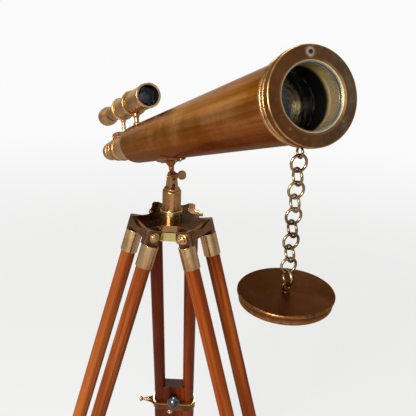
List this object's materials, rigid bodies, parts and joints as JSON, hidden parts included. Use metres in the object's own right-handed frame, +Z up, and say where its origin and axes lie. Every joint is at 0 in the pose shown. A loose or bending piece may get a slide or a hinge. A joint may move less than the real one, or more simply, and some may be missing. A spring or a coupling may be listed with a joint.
{
  "type": "telescope on tripod",
  "caption": "Refracting telescope of aged brass with a finder and a chained lens cap, tilting and panning on a wooden folding tripod with sliding lower legs.",
  "frame": {"origin": "on the floor, under the middle of the pillar", "axes": "+Z up, +X the way the telescope points, +Y to its left"},
  "size_m": [0.9589, 0.6829, 1.5152],
  "materials": {
    "lacquered_brass": "polished, with worn brown lacquer",
    "dark_brass": "dark brown patina",
    "grey_brass": "dull grey oxide",
    "stand_brass": "satin, slightly tarnished",
    "varnished_wood": "glossy reddish varnish",
    "dark_steel": "polished, darkened",
    "glass": "clear"
  },
  "bodies": {
    "head": {"tripod_head": "stand_brass", "pillar": "stand_brass", "hinge_fasteners": "stand_brass"},
    "fork": {"fork_post": "stand_brass", "spindle_nut": "stand_brass"},
    "tilt_screw": {"tilt_thumbscrew": "stand_brass"},
    "scope": {"cradle_saddle": "lacquered_brass", "small_screws": "stand_brass", "main_tube": "lacquered_brass", "objective_cell": "dark_brass", "mouth_ring": "grey_brass", "lenses": "glass", "focuser_body": "lacquered_brass", "finder_tube": "lacquered_brass", "finder_posts": "lacquered_brass", "chain_eye": "stand_brass"},
    "draw": {"draw_tube": "lacquered_brass", "eyepiece": "lacquered_brass", "eye_lens": "glass"},
    "pinion": {"focus_pinion": "lacquered_brass"},
    "finder_slide": {"finder_eyepiece": "lacquered_brass"},
    "rear_leg": {"rear_leg_yoke": "stand_brass", "rear_leg_ferrules": "stand_brass", "rear_leg_rods": "varnished_wood", "rear_leg_block": "varnished_wood", "rear_leg_strap": "stand_brass"},
    "rear_clamp": {"rear_clamp_screw": "stand_brass"},
    "rear_lower": {"rear_lower_leg": "varnished_wood", "rear_ball_knob": "dark_steel", "rear_foot": "stand_brass"},
    "right_leg": {"right_leg_yoke": "stand_brass", "right_leg_ferrules": "stand_brass", "right_leg_rods": "varnished_wood", "right_leg_block": "varnished_wood", "right_leg_strap": "stand_brass"},
    "right_clamp": {"right_clamp_screw": "stand_brass"},
    "right_lower": {"right_lower_leg": "varnished_wood", "right_ball_knob": "dark_steel", "right_foot": "stand_brass"},
    "left_leg": {"left_leg_yoke": "stand_brass", "left_leg_ferrules": "stand_brass", "left_leg_rods": "varnished_wood", "left_leg_block": "varnished_wood", "left_leg_strap": "stand_brass"},
    "left_clamp": {"left_clamp_screw": "stand_brass"},
    "left_lower": {"left_lower_leg": "varnished_wood", "left_ball_knob": "dark_steel", "left_foot": "stand_brass"},
    "link_01": {"chain_link_01": "stand_brass"},
    "link_02": {"chain_link_02": "stand_brass"},
    "link_03": {"chain_link_03": "stand_brass"},
    "link_04": {"chain_link_04": "stand_brass"},
    "link_05": {"chain_link_05": "stand_brass"},
    "link_06": {"chain_link_06": "stand_brass"},
    "link_07": {"chain_link_07": "stand_brass"},
    "link_08": {"chain_link_08": "stand_brass"},
    "link_09": {"chain_link_09": "stand_brass"},
    "link_10": {"chain_link_10": "stand_brass"},
    "cap": {"lens_cap": "dark_brass"}
  },
  "joints": [
    {"name": "pan", "type": "hinge", "parent": "head", "child": "fork", "pos_m": [0, 0, 1.23641], "axis": [0, 0, 1], "continuous": true},
    {"name": "tilt_screw_turn", "type": "hinge", "parent": "fork", "child": "tilt_screw", "pos_m": [0, 0, 1.23641], "axis": [0, 1, 0], "continuous": true},
    {"name": "tilt", "type": "hinge", "parent": "fork", "child": "scope", "pos_m": [0, 0, 1.23641], "axis": [0, -1, 0], "range_deg": [-35, 36]},
    {"name": "draw_slide", "type": "slide", "parent": "scope", "child": "draw", "axis": [-0.9385, 0, -0.3453], "range_m": [-0.035, 0.045]},
    {"name": "pinion_turn", "type": "hinge", "parent": "scope", "child": "pinion", "pos_m": [-0.35919, 0, 1.20772], "axis": [0, 1, 0], "range_deg": [-334.5, 430]},
    {"name": "finder_focus", "type": "slide", "parent": "scope", "child": "finder_slide", "axis": [-0.9385, 0, -0.3453], "range_m": [-0.012, 0.015]},
    {"name": "rear_leg_fold", "type": "hinge", "parent": "head", "child": "rear_leg", "pos_m": [-0.04702, 0.02025, 1.14571], "axis": [-0.3955, -0.9184, 0], "range_deg": [0, 15]},
    {"name": "rear_clamp_turn", "type": "hinge", "parent": "rear_leg", "child": "rear_clamp", "pos_m": [-0.21308, 0.09177, 0.56522], "axis": [-0.3955, -0.9184, 0], "continuous": true},
    {"name": "rear_leg_slide", "type": "slide", "parent": "rear_leg", "child": "rear_lower", "axis": [0.2731, -0.1176, 0.9548], "range_m": [-0.008, 0.41]},
    {"name": "right_leg_fold", "type": "hinge", "parent": "head", "child": "right_leg", "pos_m": [0.00597, -0.05085, 1.14571], "axis": [0.9932, 0.1167, 0], "range_deg": [0, 15]},
    {"name": "right_clamp_turn", "type": "hinge", "parent": "right_leg", "child": "right_clamp", "pos_m": [0.02707, -0.23042, 0.56522], "axis": [0.9932, 0.1167, 0], "continuous": true},
    {"name": "right_leg_slide", "type": "slide", "parent": "right_leg", "child": "right_lower", "axis": [-0.0347, 0.2953, 0.9548], "range_m": [-0.008, 0.41]},
    {"name": "left_leg_fold", "type": "hinge", "parent": "head", "child": "left_leg", "pos_m": [0.04105, 0.0306, 1.14571], "axis": [-0.5976, 0.8018, 0], "range_deg": [0, 15]},
    {"name": "left_clamp_turn", "type": "hinge", "parent": "left_leg", "child": "left_clamp", "pos_m": [0.18602, 0.13865, 0.56522], "axis": [-0.5976, 0.8018, 0], "continuous": true},
    {"name": "left_leg_slide", "type": "slide", "parent": "left_leg", "child": "left_lower", "axis": [-0.2384, -0.1777, 0.9548], "range_m": [-0.008, 0.41]},
    {"name": "link_01_swing", "type": "hinge", "parent": "scope", "child": "link_01", "pos_m": [0.40864, 0, 1.39692], "axis": [1, 0, 0], "range_deg": [-10, 10]},
    {"name": "link_02_swing", "type": "hinge", "parent": "link_01", "child": "link_02", "pos_m": [0.40864, 0, 1.38132], "axis": [0, 1, 0], "range_deg": [-10, 10]},
    {"name": "link_03_swing", "type": "hinge", "parent": "link_02", "child": "link_03", "pos_m": [0.40864, 0, 1.36592], "axis": [1, 0, 0], "range_deg": [-10, 10]},
    {"name": "link_04_swing", "type": "hinge", "parent": "link_03", "child": "link_04", "pos_m": [0.40864, 0, 1.35052], "axis": [0, 1, 0], "range_deg": [-10, 10]},
    {"name": "link_05_swing", "type": "hinge", "parent": "link_04", "child": "link_05", "pos_m": [0.40864, 0, 1.33512], "axis": [1, 0, 0], "range_deg": [-10, 10]},
    {"name": "link_06_swing", "type": "hinge", "parent": "link_05", "child": "link_06", "pos_m": [0.40864, 0, 1.31972], "axis": [0, 1, 0], "range_deg": [-10, 10]},
    {"name": "link_07_swing", "type": "hinge", "parent": "link_06", "child": "link_07", "pos_m": [0.40864, 0, 1.30432], "axis": [1, 0, 0], "range_deg": [-10, 10]},
    {"name": "link_08_swing", "type": "hinge", "parent": "link_07", "child": "link_08", "pos_m": [0.40864, 0, 1.28892], "axis": [0, 1, 0], "range_deg": [-10, 10]},
    {"name": "link_09_swing", "type": "hinge", "parent": "link_08", "child": "link_09", "pos_m": [0.40864, 0, 1.27352], "axis": [1, 0, 0], "range_deg": [-10, 10]},
    {"name": "link_10_swing", "type": "hinge", "parent": "link_09", "child": "link_10", "pos_m": [0.40864, 0, 1.25812], "axis": [0, 1, 0], "range_deg": [-10, 10]},
    {"name": "cap_swing", "type": "hinge", "parent": "link_10", "child": "cap", "pos_m": [0.40864, 0, 1.24272], "axis": [1, 0, 0], "range_deg": [-20, 20]}
  ],
  "couplings": [
    {"joint": "pinion_turn", "follows": "draw_slide", "rad_per_m": 166.67}
  ]
}
